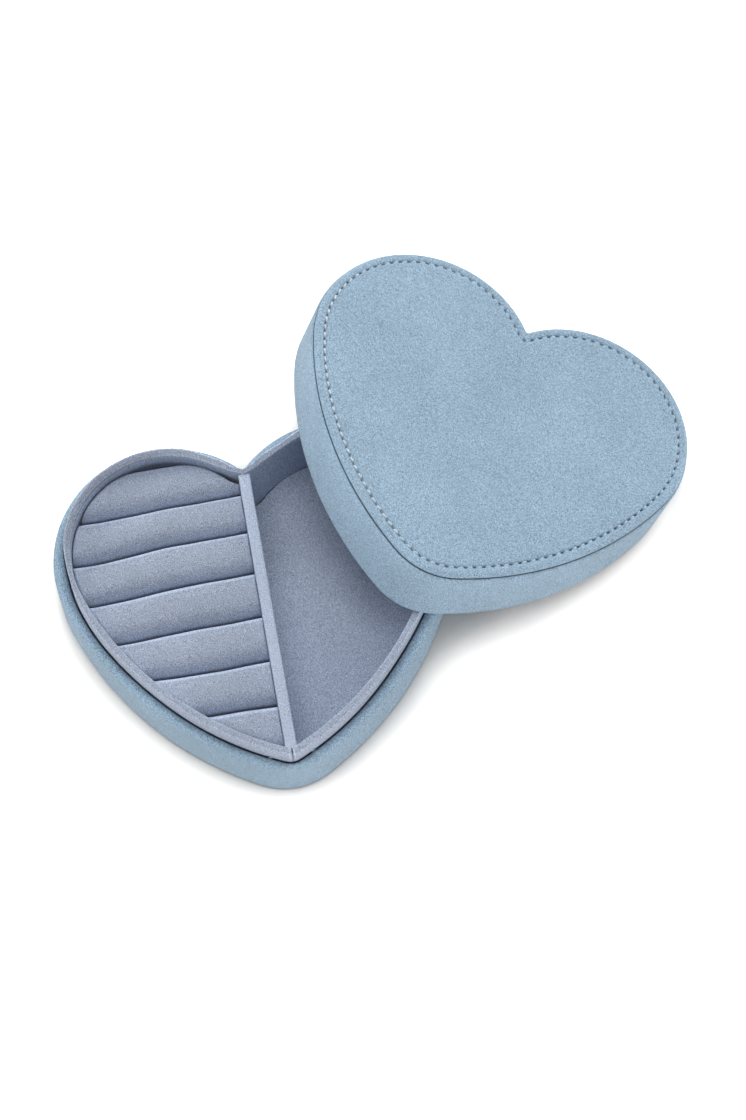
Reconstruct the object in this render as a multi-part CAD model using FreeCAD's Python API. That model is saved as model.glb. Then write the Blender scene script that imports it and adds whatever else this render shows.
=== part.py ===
"""Heart-shaped jewellery box, with its lid lifted off and leaning on the base. Millimetres, +Z up."""
import FreeCAD, Part
import math
import os

from FreeCAD import Placement, Rotation, Vector

# Heart outline, measured on the outer face of the suede
LOBE_RADIUS = 40.3
LOBE_SPACING = 59.4
SHOULDER_ANGLE = 19.5
SIDE_RADIUS = 119.0
TIP_RADIUS = 24.5
CLEFT_RADIUS = 1.5

# Cloths
SUEDE = 0.8
LINING = 0.5
UNDERSIDE_SHEET = 0.6
SUEDE_TURN_IN = 9.0
SHEET_INSET = 3.0

# Base
BASE_BOARD = 2.0
BASE_WALL_TOP = 28.0
BASE_EDGE_ROUND = 2.2
BASE_FOOT_ROUND = 1.8

# Collar that stands up inside the base wall, and the open slot beside it at the top of the wall
COLLAR_RISE = 9.0
COLLAR_BOARD = 1.8
COLLAR_TIP_RADIUS = 6.0
COLLAR_RIM_ROUND = 0.4
WALL_SLOT = 0.7
WALL_SLOT_DEPTH = 4.0

# Divider from cleft to tip, and the open compartment on its right
DIVIDER_BOARD = 3.0
DIVIDER_DROP = 1.5
FLOOR_PAD = 1.2
FITTING_GAP = 0.3

# Ring rolls on the left of the divider, each a little wider than the one behind it
RING_BED_BOARD = 1.5
ROLL_DROP = 5.5
FIRST_ROLL_WIDTH = 16.7
ROLL_WIDTH = 14.3
ROLL_GROWTH = 0.6
ROLL_CROWN = 6.5
ROLL_GAP = 0.3
SMALLEST_ROLL = 10.0

# Lid
LID_SEAM_HEIGHT = 25.0
LID_WALL_BOARD = 2.0
LID_TOP_BOARD = 2.0
LID_FIT = 0.5
LID_HEM_ROUND = 1.2
LID_SHOULDER_ROUND = 1.5
LID_LINING_SETBACK = 1.0
LID_LINING_PAD = 1.5
LID_TURN_OVER = 6.0

# Padded panel on top of the lid, and its topstitching
PANEL_INSET = 0.7
PANEL_BOARD = 0.9
PANEL_PADDING = 0.6
PANEL_SUEDE = 0.6
PANEL_EDGE_ROUND = 1.2
STITCH_INSET = 4.1
STITCH_PITCH = 3.3
STITCH_LENGTH = 2.4
THREAD_DIAMETER = 0.6
STITCH_GROOVE_WIDTH = 1.0
STITCH_GROOVE_DEPTH = 0.3

# Where the lid lies: flat turn and shift before it is tipped off the collar
LID_TURN = -32.4
LID_SHIFT_X = 88.0
LID_SHIFT_Y = 33.1
LID_REST_GAP = 0.3

# Heights of the base, from the ground up
BOARD_BOTTOM = UNDERSIDE_SHEET + SUEDE
BOARD_TOP = BOARD_BOTTOM + BASE_BOARD
RIM = BASE_WALL_TOP + COLLAR_RISE
DIVIDER_TOP = RIM - DIVIDER_DROP
ROLL_TOP = RIM - ROLL_DROP
BED_TOP = BOARD_TOP + RING_BED_BOARD
FLOOR_PAD_TOP = BOARD_TOP + FLOOR_PAD

# Heights of the lid, from its lower edge up
LID_FRAME_TOP = LID_SEAM_HEIGHT - SUEDE
LID_CEILING = LID_FRAME_TOP - LID_TOP_BOARD
LID_PAD_BOTTOM = LID_CEILING - LID_LINING_PAD
PANEL_BOARD_TOP = LID_SEAM_HEIGHT + PANEL_BOARD
PANEL_PADDING_TOP = PANEL_BOARD_TOP + PANEL_PADDING
PANEL_TOP = PANEL_PADDING_TOP + PANEL_SUEDE

# Insets of the wall's layers from the outer face of the suede
LID_CORE_INNER = SUEDE + LID_WALL_BOARD
LID_INNER = LID_CORE_INNER + LINING
COLLAR_OUTER = LID_INNER + LID_FIT
COLLAR_CORE_OUTER = COLLAR_OUTER + LINING
COLLAR_CORE_INNER = COLLAR_CORE_OUTER + COLLAR_BOARD
COLLAR_INNER = COLLAR_CORE_INNER + LINING
FITTING_INSET = COLLAR_INNER + FITTING_GAP
LID_PAD_INSET = LID_INNER + FITTING_GAP
DIVIDER_HALF = DIVIDER_BOARD / 2 + LINING
PANEL_CORE_INSET = PANEL_INSET + PANEL_SUEDE

UP = Vector(0, 0, 1)
WIDE = 2 * (LOBE_SPACING + 2 * LOBE_RADIUS)


def arc(x, y, radius, start, end, z):
    """Arc about (x, y) from one angle to another, both in radians."""
    angles = (start, (start + end) / 2, end)
    points = [Vector(x + radius * math.cos(a), y + radius * math.sin(a), z) for a in angles]
    return Part.Arc(*points).toShape()


def heart_wire(inset, tip_radius, z):
    """Heart of six tangent arcs, lobes towards +Y and tip towards -Y, drawn in by inset."""
    lobe_x = LOBE_SPACING / 2
    shoulder = math.radians(SHOULDER_ANGLE)
    cleft_y = math.sqrt((LOBE_RADIUS + CLEFT_RADIUS) ** 2 - lobe_x ** 2)
    cleft_angle = math.atan2(cleft_y, -lobe_x)
    side_x = lobe_x - (SIDE_RADIUS - LOBE_RADIUS) * math.cos(shoulder)
    side_y = (SIDE_RADIUS - LOBE_RADIUS) * math.sin(shoulder)
    tip_y = side_y - math.sqrt((SIDE_RADIUS - inset - tip_radius) ** 2 - side_x ** 2)
    tip_angle = math.atan2(tip_y - side_y, -side_x)
    right = [
        arc(lobe_x, 0, LOBE_RADIUS - inset, cleft_angle, -shoulder, z),
        arc(side_x, side_y, SIDE_RADIUS - inset, -shoulder, tip_angle, z),
    ]
    left = [edge.mirror(Vector(0, 0, 0), Vector(1, 0, 0)) for edge in right]
    tip = arc(0, tip_y, tip_radius, tip_angle, -math.pi - tip_angle, z)
    cleft = arc(0, cleft_y, CLEFT_RADIUS + inset, cleft_angle - math.pi, -cleft_angle, z)
    return Part.Wire(Part.__sortEdges__(right + left + [tip, cleft]))


def outer_wire(inset, z=0.0):
    """Outline that runs parallel to the outer face."""
    return heart_wire(inset, TIP_RADIUS - inset, z)


def inner_wire(inset, z=0.0):
    """Outline that runs parallel to the collar, whose tip is sharper."""
    return heart_wire(inset, COLLAR_TIP_RADIUS + COLLAR_OUTER - inset, z)


def prism(wire, height):
    return Part.Face(wire).extrude(UP * height)


def outer_block(inset, bottom, top):
    return prism(outer_wire(inset, bottom), top - bottom)


def inner_block(inset, bottom, top):
    return prism(inner_wire(inset, bottom), top - bottom)


def round_edges(solid, z, radius):
    """Round the edges that lie level at height z."""
    level = [e for e in solid.Edges if abs(e.BoundBox.ZMin - z) + abs(e.BoundBox.ZMax - z) < 1e-4]
    return solid.makeFillet(radius, level)


def side_region(side, bottom, top):
    """Space inside the collar on one side of the divider: -1 left, +1 right."""
    half = Part.makeBox(WIDE, 2 * WIDE, top - bottom)
    half.translate(Vector(DIVIDER_HALF + FITTING_GAP, -WIDE, bottom))
    if side < 0:
        half = half.mirror(Vector(0, 0, 0), Vector(1, 0, 0))
    return inner_block(FITTING_INSET, bottom, top).common(half)


def base_shell():
    """Board, wall, cover and underside sheet of the base."""
    slot = inner_block(COLLAR_OUTER - WALL_SLOT, BASE_WALL_TOP - WALL_SLOT_DEPTH, RIM)
    middle = inner_block(COLLAR_OUTER, BOARD_TOP, RIM).fuse(slot)
    frame = outer_block(SUEDE, BOARD_BOTTOM, BASE_WALL_TOP - SUEDE)
    frame = round_edges(frame, BASE_WALL_TOP - SUEDE, BASE_EDGE_ROUND - SUEDE)
    cover = outer_block(0, UNDERSIDE_SHEET, BASE_WALL_TOP)
    cover = round_edges(cover, UNDERSIDE_SHEET, BASE_FOOT_ROUND)
    cover = round_edges(cover, BASE_WALL_TOP, BASE_EDGE_ROUND)
    cover = cover.cut(frame).cut(middle)
    cover = cover.cut(outer_block(SUEDE_TURN_IN, 0, BOARD_TOP))
    return {
        "base_underside_sheet": outer_block(SHEET_INSET, 0, UNDERSIDE_SHEET),
        "base_board": outer_block(SUEDE, BOARD_BOTTOM, BOARD_TOP),
        "base_wall_core": frame.cut(middle).cut(outer_block(0, 0, BOARD_TOP)),
        "base_wall_cover": cover,
    }


def collar():
    """Thin wall that the lid slides over, with its cloth down both faces."""
    core = inner_block(COLLAR_CORE_OUTER, BOARD_TOP, RIM - LINING)
    core = core.cut(inner_block(COLLAR_CORE_INNER, BOARD_TOP, RIM))
    cloth = inner_block(COLLAR_OUTER, BOARD_TOP, RIM)
    cloth = cloth.cut(inner_block(COLLAR_INNER, BOARD_TOP, RIM))
    cloth = round_edges(cloth, RIM, COLLAR_RIM_ROUND)
    return {"collar_core": core, "collar_lining": cloth.cut(core)}


def divider():
    """Board across the heart from cleft to tip, with its cloth over the top."""
    def slab(half_width, top):
        box = Part.makeBox(2 * half_width, 2 * WIDE, top - BOARD_TOP)
        box.translate(Vector(-half_width, -WIDE, BOARD_TOP))
        return box.common(inner_block(COLLAR_INNER, BOARD_TOP, top))

    core = slab(DIVIDER_BOARD / 2, DIVIDER_TOP - LINING)
    return {"divider_core": core, "divider_lining": slab(DIVIDER_HALF, DIVIDER_TOP).cut(core)}


def compartment_floor():
    """Thin pad under the open compartment, and the cloth over it."""
    return {
        "compartment_floor_pad": side_region(1, BOARD_TOP, FLOOR_PAD_TOP),
        "compartment_floor_lining": side_region(1, FLOOR_PAD_TOP, FLOOR_PAD_TOP + LINING),
    }


def roll_lines():
    """Lines along Y where one ring roll ends and the next begins, back to front."""
    back = LOBE_RADIUS - FITTING_INSET
    front = inner_wire(FITTING_INSET).BoundBox.YMin
    lines = [back, back - FIRST_ROLL_WIDTH]
    width = ROLL_WIDTH
    while lines[-1] > front + SMALLEST_ROLL:
        lines.append(lines[-1] - width)
        width += ROLL_GROWTH
    return lines


def roll_prism(front, back, top):
    """Round-topped bar along X between two lines, standing on the bed board."""
    crown = min(ROLL_CROWN, 0.45 * (back - front))
    low = [Vector(0, front, BED_TOP), Vector(0, back, BED_TOP)]
    high = [Vector(0, front, top - crown), Vector(0, back, top - crown)]
    edges = [
        Part.LineSegment(low[0], low[1]).toShape(),
        Part.LineSegment(low[1], high[1]).toShape(),
        Part.Arc(high[1], Vector(0, (front + back) / 2, top), high[0]).toShape(),
        Part.LineSegment(high[0], low[0]).toShape(),
    ]
    return Part.Face(Part.Wire(edges)).extrude(Vector(-WIDE, 0, 0))


def ring_rolls():
    """Bed board, foam rolls and the cloth over each roll."""
    parts = {"ring_bed_board": side_region(-1, BOARD_TOP, BED_TOP)}
    space = side_region(-1, BED_TOP, RIM)
    lines = roll_lines()
    for number, (back, front) in enumerate(zip(lines, lines[1:]), start=1):
        outside = roll_prism(front + ROLL_GAP / 2, back - ROLL_GAP / 2, ROLL_TOP)
        foam = roll_prism(front + ROLL_GAP / 2 + LINING, back - ROLL_GAP / 2 - LINING, ROLL_TOP - LINING)
        parts[f"ring_roll_core_{number}"] = foam.common(space)
        parts[f"ring_roll_cover_{number}"] = outside.cut(foam).common(space)
    return parts


def lid_shell():
    """Wall, top board, cover and lining of the lid, standing on its lower edge."""
    frame = outer_block(SUEDE, SUEDE, LID_FRAME_TOP)
    frame = round_edges(frame, LID_FRAME_TOP, LID_SHOULDER_ROUND - SUEDE)
    frame = round_edges(frame, SUEDE, LID_HEM_ROUND - SUEDE)
    cover = outer_block(0, 0, LID_SEAM_HEIGHT)
    cover = round_edges(cover, LID_SEAM_HEIGHT, LID_SHOULDER_ROUND)
    cover = round_edges(cover, 0, LID_HEM_ROUND)
    cover = cover.cut(frame).cut(inner_block(LID_CORE_INNER, 0, SUEDE))
    cover = cover.cut(outer_block(LID_TURN_OVER, LID_FRAME_TOP, LID_SEAM_HEIGHT))
    hollow = inner_block(LID_CORE_INNER, 0, LID_CEILING)
    lining = inner_block(LID_CORE_INNER, LID_LINING_SETBACK, LID_CEILING)
    top_board = frame.common(outer_block(0, LID_CEILING, LID_FRAME_TOP))
    return {
        "lid_wall_core": frame.cut(hollow).cut(top_board),
        "lid_top_board": top_board,
        "lid_wall_cover": cover,
        "lid_wall_lining": lining.cut(inner_block(LID_INNER, 0, LID_CEILING)),
    }


def lid_lining():
    """Padded lining inside the top of the lid."""
    pad = inner_block(LID_PAD_INSET + LINING, LID_PAD_BOTTOM, LID_CEILING)
    cloth = inner_block(LID_PAD_INSET, LID_PAD_BOTTOM - LINING, LID_CEILING)
    return {"lid_lining_pad": pad, "lid_lining_cover": cloth.cut(pad)}


def stitch():
    """One stitch along X, round at both ends, its middle at the origin."""
    radius = THREAD_DIAMETER / 2
    straight = STITCH_LENGTH / 2 - radius
    edges = [
        Part.Arc(Vector(straight + radius, 0, 0),
                 Vector(straight + radius * math.sqrt(0.5), 0, radius * math.sqrt(0.5)),
                 Vector(straight, 0, radius)).toShape(),
        Part.LineSegment(Vector(straight, 0, radius), Vector(-straight, 0, radius)).toShape(),
        Part.Arc(Vector(-straight, 0, radius),
                 Vector(-straight - radius * math.sqrt(0.5), 0, radius * math.sqrt(0.5)),
                 Vector(-straight - radius, 0, 0)).toShape(),
        Part.LineSegment(Vector(-straight - radius, 0, 0), Vector(straight + radius, 0, 0)).toShape(),
    ]
    return Part.Face(Part.Wire(edges)).revolve(Vector(0, 0, 0), Vector(1, 0, 0), 360)


def stitching():
    """Stitches end to end round the panel, lying in its groove."""
    thread_z = PANEL_TOP - STITCH_GROOVE_DEPTH + THREAD_DIAMETER / 2
    line = outer_wire(STITCH_INSET, thread_z)
    count = round(line.Length / STITCH_PITCH)
    ends = line.discretize(Number=count + 1)
    one = stitch()
    stitches = []
    for start, end in zip(ends, ends[1:]):
        along = end - start
        turn = Rotation(UP, math.degrees(math.atan2(along.y, along.x)))
        copy = one.copy()
        copy.Placement = Placement((start + end) / 2, turn)
        stitches.append(copy)
    return Part.makeCompound(stitches)


def lid_panel():
    """Padded suede panel on top of the lid, stitched round its edge."""
    cover = outer_block(PANEL_INSET, LID_SEAM_HEIGHT, PANEL_TOP)
    cover = round_edges(cover, PANEL_TOP, PANEL_EDGE_ROUND)
    cover = cover.cut(outer_block(PANEL_CORE_INSET, LID_SEAM_HEIGHT, PANEL_PADDING_TOP))
    groove_floor = PANEL_TOP - STITCH_GROOVE_DEPTH
    groove = outer_block(STITCH_INSET - STITCH_GROOVE_WIDTH / 2, groove_floor, PANEL_TOP)
    groove = groove.cut(outer_block(STITCH_INSET + STITCH_GROOVE_WIDTH / 2, groove_floor, PANEL_TOP))
    return {
        "lid_panel_board": outer_block(PANEL_CORE_INSET, LID_SEAM_HEIGHT, PANEL_BOARD_TOP),
        "lid_panel_padding": outer_block(PANEL_CORE_INSET, PANEL_BOARD_TOP, PANEL_PADDING_TOP),
        "lid_panel_cover": cover.cut(groove),
        "lid_panel_stitching": stitching(),
    }


def lean_on_collar():
    """Placement of the lid tipped off the base: the rim carries it at two crossings, its far lobe is down."""
    flat = Placement(Vector(LID_SHIFT_X, LID_SHIFT_Y, 0), Rotation(UP, LID_TURN))
    edge = Part.Face(outer_wire(0)).cut(Part.Face(inner_wire(LID_INNER)))
    edge.Placement = flat
    rim = Part.Face(inner_wire(COLLAR_OUTER)).cut(Part.Face(inner_wire(COLLAR_INNER)))
    crossings = sorted(edge.common(rim).Faces, key=lambda face: face.CenterOfMass.y)
    front, back = crossings[0], crossings[-1]
    downhill = (back.CenterOfMass - front.CenterOfMass).cross(UP)
    corners = [max((v.Point for v in face.Vertexes), key=downhill.dot) for face in (front, back)]
    along = (corners[1] - corners[0]).normalize()
    downhill = along.cross(UP)
    lobes = [flat.multVec(Vector(x, 0, 0)) for x in (-LOBE_SPACING / 2, LOBE_SPACING / 2)]
    reach = max(downhill.dot(lobe - corners[0]) for lobe in lobes) + LOBE_RADIUS
    height = RIM + LID_REST_GAP
    slope = math.degrees(math.asin(height / reach))
    flat.move(UP * height)
    print(f"lid leans {slope:.1f} degrees about {math.degrees(math.atan2(along.y, along.x)):.1f}")
    return Placement(Vector(0, 0, 0), Rotation(along, slope), corners[0] + UP * height).multiply(flat)


base_parts = {**base_shell(), **collar(), **divider(), **compartment_floor(), **ring_rolls()}
lid_parts = {**lid_shell(), **lid_lining(), **lid_panel()}
lean = lean_on_collar()
for shape in lid_parts.values():
    shape.Placement = lean.multiply(shape.Placement)

os.makedirs("parts", exist_ok=True)
for name, shape in {**base_parts, **lid_parts}.items():
    shape.exportStep(f"parts/{name}.step")
    print(name, len(shape.Solids), shape.isValid(), round(shape.Volume, 1))
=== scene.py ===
import math

import bmesh
import bpy
import numpy as np
from bpy.props import FloatProperty, FloatVectorProperty, IntProperty, PointerProperty
from mathutils import Matrix, Vector


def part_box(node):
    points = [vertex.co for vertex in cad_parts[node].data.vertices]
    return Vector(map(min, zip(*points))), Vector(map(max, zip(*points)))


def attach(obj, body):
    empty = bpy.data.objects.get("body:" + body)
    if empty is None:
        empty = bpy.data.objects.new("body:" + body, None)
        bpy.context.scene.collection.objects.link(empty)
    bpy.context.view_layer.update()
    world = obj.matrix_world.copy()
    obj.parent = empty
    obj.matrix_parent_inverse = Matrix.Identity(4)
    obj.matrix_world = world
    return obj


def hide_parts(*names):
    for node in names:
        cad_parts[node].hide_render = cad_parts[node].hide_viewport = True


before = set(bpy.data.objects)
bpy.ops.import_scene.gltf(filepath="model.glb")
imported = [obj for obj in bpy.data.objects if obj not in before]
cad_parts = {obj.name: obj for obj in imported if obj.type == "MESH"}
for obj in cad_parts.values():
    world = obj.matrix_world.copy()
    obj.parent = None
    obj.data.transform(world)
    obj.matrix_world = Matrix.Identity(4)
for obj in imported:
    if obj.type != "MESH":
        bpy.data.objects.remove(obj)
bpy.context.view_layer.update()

bl_info = {
    "name": "Heart jewellery box",
    "version": (1, 0, 0),
    "blender": (4, 5, 0),
    "location": "View3D > Sidebar > Jewellery box",
    "description": "Dresses a heart-shaped jewellery box in suede, lining cloth and topstitching",
    "category": "Mesh",
}

MM = 0.001
NEAR = 0.1 * MM
WALL_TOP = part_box("base_wall_cover")[1].z
LOBE_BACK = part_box("base_wall_cover")[1].y
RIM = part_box("collar_lining")[1].z
BOARD_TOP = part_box("base_board")[1].z
SHEET_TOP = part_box("base_underside_sheet")[1].z
FLOOR_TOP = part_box("compartment_floor_lining")[1].z
DIVIDER_LOW, DIVIDER_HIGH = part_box("divider_lining")
ROLL_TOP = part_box("ring_roll_cover_2")[1].z
ROLL_COUNT = sum(name.startswith("ring_roll_cover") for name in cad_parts)


def length(name, description, millimetres):
    """A size in metres that a user may change, given in millimetres."""
    return FloatProperty(name=name, description=description, default=millimetres / 1000, unit="LENGTH",
                         subtype="DISTANCE", precision=5)


def rotation(name, description, degrees):
    """An angle that a user may change, given in degrees."""
    return FloatProperty(name=name, description=description, default=math.radians(degrees), subtype="ANGLE",
                         unit="ROTATION")


def colour(name, description, red, green, blue):
    return FloatVectorProperty(name=name, description=description, default=(red, green, blue), size=3,
                               subtype="COLOR", min=0, max=1)


class HeartSizes(bpy.types.PropertyGroup):
    """Outline of the heart, and the layers of its walls"""
    lobe_radius: length("Lobe radius", "Radius of the two round lobes", 40.3)
    lobe_spacing: length("Lobe spacing", "Distance between the lobes' centres", 59.4)
    shoulder_angle: rotation("Shoulder angle", "How far round the lobes run into the sides", 19.5)
    side_radius: length("Side radius", "Radius of the long sides", 119.0)
    tip_radius: length("Tip radius", "Radius of the outer tip", 24.5)
    outer_cleft: length("Outer cleft", "Radius of the suede's fold between the lobes", 0.4)
    collar_cleft: length("Collar cleft", "Radius that the collar's fold between the lobes starts from", 1.5)
    collar_tip_radius: length("Collar tip radius", "Radius of the collar's outer tip", 6.0)
    suede: length("Suede", "Thickness of the suede", 0.8)
    lining: length("Lining", "Thickness of the lining cloth", 0.5)
    collar_inset: length("Collar inset", "From the outer face to the collar", 3.8)
    collar_width: length("Collar width", "Thickness of the covered collar", 2.8)
    fitting_gap: length("Fitting gap", "Room round what is fitted inside the collar", 0.3)
    seat_gap: length("Seat gap", "Room round the compartment floor's soft edge", 0.06)
    wall_slot: length("Wall slot", "Open slot between the suede of the base wall and the collar", 0.5)
    stations: IntProperty(name="Stations", description="Points round the heart on plain pieces", default=420,
                          min=60)


class BaseSizes(bpy.types.PropertyGroup):
    """Roundings and cushions of the base"""
    wall_round: length("Wall round", "Rounding of the padded top edge of the wall", 2.4)
    slot_round: length("Slot round", "Rounding of the suede where it dives into the slot", 0.6)
    foot_round: length("Foot round", "Rounding of the lower edge of the wall", 1.8)
    tuck: length("Tuck", "How deep the suede dives beside the collar", 3.9)
    turn_in: length("Turn-in", "Width of the suede that is turned in under the base", 9.0)
    rim_round: length("Rim round", "Rounding of the rim's outer edge", 0.35)
    rim_inner_round: length("Rim inner round", "Rounding of the rim's inner edge", 0.8)
    rim_slope: length("Rim slope", "How far the rim falls towards the inside", 0.9)
    rim_drift: length("Rim drift", "How far the hand-set collar strays inwards at the shoulders", 1.3)
    cleft_pinch: length("Cleft pinch", "How much thinner the collar is in the cleft", 1.0)
    divider_reach: length("Divider reach", "How far the divider reaches into the pinched cleft", 0.9)
    divider_round: length("Divider round", "Rounding of the divider's upper edges", 0.6)
    roll_crown: length("Roll crown", "Height of a ring roll above the groove's shoulder", 8.0)
    roll_fullness: FloatProperty(name="Roll fullness", default=2.5, min=2, max=6,
                                 description="2 for an elliptic roll, more for a flatter top")
    roll_end_round: length("Roll end round", "Rounding of a roll where it meets the collar", 1.6)
    roll_gap: length("Roll gap", "Gap between the rolls and the divider", 0.12)
    roll_depth: length("Roll depth", "From the top of a roll down to where its cloth ends", 16.0)


class LidSizes(bpy.types.PropertyGroup):
    """Roundings, panel, topstitching and cushion of the lid"""
    seam_height: length("Seam height", "From the lid's lower edge to the panel's seam", 25.0)
    ceiling: length("Ceiling", "From the lid's lower edge to its top board", 22.2)
    wall: length("Wall", "Thickness of the lid's lined wall", 3.3)
    hem_round: length("Hem round", "Rounding of the lower edge", 1.3)
    shoulder_round: length("Shoulder round", "Rounding of the wall's upper edge", 1.5)
    turn_over: length("Turn-over", "Width of the suede that is turned in under the panel", 6.0)
    panel_inset: length("Panel inset", "From the wall's face to the panel's edge", 0.7)
    panel_height: length("Panel height", "Thickness of the padded panel", 2.1)
    panel_round: length("Panel round", "Rounding of the panel's upper edge", 1.25)
    panel_undercut: length("Panel undercut", "Rounding of the panel's lower edge", 0.55)
    stitch_inset: length("Stitch inset", "From the wall's face to the stitches", 4.1)
    stitch_pitch: length("Stitch pitch", "Length of one stitch with its gap", 3.3)
    stitch_length: length("Stitch length", "Length of the thread that shows", 2.2)
    stitch_slant: rotation("Stitch slant", "How far each stitch is turned off the line", 11)
    thread: length("Thread", "Diameter of the thread", 0.66)
    stitch_dip: length("Stitch dip", "How deep the stitches draw the panel in", 0.42)
    needle_hole: length("Needle hole", "Depth of the holes between stitches", 0.8)
    lining_hem: length("Lining hem", "From the lid's lower edge to the lining's", 1.0)
    cushion_height: length("Cushion height", "Thickness of the cushion inside the lid", 2.0)
    cushion_round: length("Cushion round", "Rounding of the cushion's lower edge", 1.2)


class Finishes(bpy.types.PropertyGroup):
    """Colours of the cloths, boards and stage"""
    suede: colour("Suede", "Dusty sky-blue suede", 0.360, 0.503, 0.640)
    lining: colour("Lining", "Greyer blue lining cloth", 0.448, 0.515, 0.642)
    thread: colour("Thread", "Pale blue thread", 0.76, 0.85, 0.92)
    board: colour("Board", "Grey board inside the walls", 0.40, 0.37, 0.33)
    foam: colour("Foam", "White foam inside the pads", 0.80, 0.79, 0.76)
    underside: colour("Underside", "Felt sheet under the base", 0.27, 0.37, 0.48)
    floor: colour("Floor", "Pale floor", 0.97, 0.93, 0.88)


def sizes():
    return bpy.context.scene.heart_sizes


def base_sizes():
    return bpy.context.scene.heart_base


def lid_sizes():
    return bpy.context.scene.heart_lid


def finishes():
    return bpy.context.scene.heart_finishes


def clamp(value):
    """A share, kept between 0 and 1."""
    return max(0.0, min(1.0, value))


def hump(off, width):
    """A smooth rise to 1 where off is nothing."""
    return math.exp(-(off / width) ** 2)


def line_mark(mark, off):
    """What a mark of strength, place and width, in millimetres from an edge, gives that far off the edge."""
    strength, place, width = mark
    return strength * hump(off / MM - place, width)


def round_mark(mark, share):
    """What a mark of strength, place and width, in shares of the way round the heart, gives at a share."""
    strength, place, width = mark
    off = abs(share - place)
    return strength * hump(min(off, 1 - off), width)


def rising_mark(mark, value):
    """What a mark of strength, start and span gives at a value, as it comes up over the span."""
    strength, start, span = mark
    return strength * clamp((value - start) / span)


def heart_arcs(inset, tip_radius, cleft_radius):
    """Arcs of the heart drawn in by inset, clockwise from the cleft: centre, radius, first and last angle."""
    heart = sizes()
    lobe_x = heart.lobe_spacing / 2
    lobe_to_side = heart.side_radius - heart.lobe_radius
    cleft_y = math.sqrt((heart.lobe_radius - inset + cleft_radius) ** 2 - lobe_x ** 2)
    cleft_angle = math.atan2(cleft_y, -lobe_x)
    side_x = lobe_x - lobe_to_side * math.cos(heart.shoulder_angle)
    side_y = lobe_to_side * math.sin(heart.shoulder_angle)
    tip_y = side_y - math.sqrt((heart.side_radius - inset - tip_radius) ** 2 - side_x ** 2)
    tip_angle = math.atan2(tip_y - side_y, -side_x)
    right = [
        (0, cleft_y, cleft_radius, -math.pi / 2, cleft_angle - math.pi),
        (lobe_x, 0, heart.lobe_radius - inset, cleft_angle, -heart.shoulder_angle),
        (side_x, side_y, heart.side_radius - inset, -heart.shoulder_angle, tip_angle),
        (0, tip_y, tip_radius, tip_angle, -math.pi / 2),
    ]
    left = [(-x, y, radius, math.pi - last, math.pi - first) for x, y, radius, first, last in reversed(right)]
    return right + left


# How much the fold in the cleft opens as the outline is drawn in.
CLEFT_SPREAD = 0.6


def outer_arcs(inset):
    """Outline that runs parallel to the outer face, but for a sharper fold in the cleft."""
    heart = sizes()
    return heart_arcs(inset, heart.tip_radius - inset, heart.outer_cleft + CLEFT_SPREAD * inset)


def collar_arcs(inset):
    """Outline that runs parallel to the collar, whose tip is sharper."""
    heart = sizes()
    return heart_arcs(inset, heart.collar_tip_radius + heart.collar_inset - inset, heart.collar_cleft + inset)


def arc_lengths(arcs):
    return [radius * abs(last - first) for x, y, radius, first, last in arcs]


def even_stations(arcs, count):
    """Evenly spaced places along an outline, each the number of its arc and the share of that arc."""
    lengths = arc_lengths(arcs)
    places = []
    arc, passed = 0, 0.0
    for number in range(count):
        along = sum(lengths) * number / count
        while along > passed + lengths[arc]:
            passed += lengths[arc]
            arc += 1
        places.append((arc, (along - passed) / lengths[arc]))
    return places


def heart_stations(density=1):
    return even_stations(outer_arcs(0.0), sizes().stations * density)


def outline_points(arcs, stations):
    points = []
    for arc, share in stations:
        x, y, radius, first, last = arcs[arc]
        angle = first + (last - first) * share
        points.append((x + radius * math.cos(angle), y + radius * math.sin(angle)))
    return points


def parallel_to(arcs_of, stations):
    """Points of an outline for any inset, the same at any height."""
    return lambda inset, height: outline_points(arcs_of(inset), stations)


# Marks round the heart where the hand-set collar strays inwards, in parts of the rim drift.
RIM_DRIFTS = (
    (1.2, 0.034, 0.020),
    (1.0, 0.238, 0.032),
    (0.5, 0.360, 0.050),
    (0.3, 0.650, 0.050),
    (1.0, 0.762, 0.032),
    (0.4, 0.974, 0.014),
)


def rim_drifts(count):
    """How far the collar strays inwards at each of count stations."""
    drift = base_sizes().rim_drift
    return [drift * sum(round_mark(mark, number / count) for mark in RIM_DRIFTS) for number in range(count)]


def strayed(points_of, inset, drifts, share):
    """Points of an outline, each moved inwards by a share of its drift."""
    step = 1 * MM
    pairs = zip(points_of(inset), points_of(inset + step), drifts)
    return [Vector(here).lerp(inner, drift * share / step) for here, inner, drift in pairs]


def wall_outline(stations, thickness, low, high):
    """Points that go over from the outer face to the collar's sharper tip across the edge of a wall of that
    thickness, between the heights low and high, and keep parallel to the outer face elsewhere."""
    def points(inset, height):
        outside = outline_points(outer_arcs(inset), stations)
        if not low <= height <= high:
            return outside
        beside = outline_points(collar_arcs(inset), stations)
        share = min(1.0, inset / thickness)
        return [Vector(a).lerp(b, share) for a, b in zip(outside, beside)]

    return points


def collar_room(x, y, inset):
    """Distance from a place inside the collar to its outline drawn in by inset."""
    cleft, lobe, side, _ = collar_arcs(inset)[:4]
    bearing = math.atan2(y, abs(x) - lobe[0])
    if bearing > lobe[3]:
        return math.hypot(x, y - cleft[1]) - cleft[2]
    if bearing >= lobe[4]:
        return lobe[2] - math.hypot(abs(x) - lobe[0], y)
    return side[2] - math.hypot(abs(x) - side[0], y - side[1])


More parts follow.
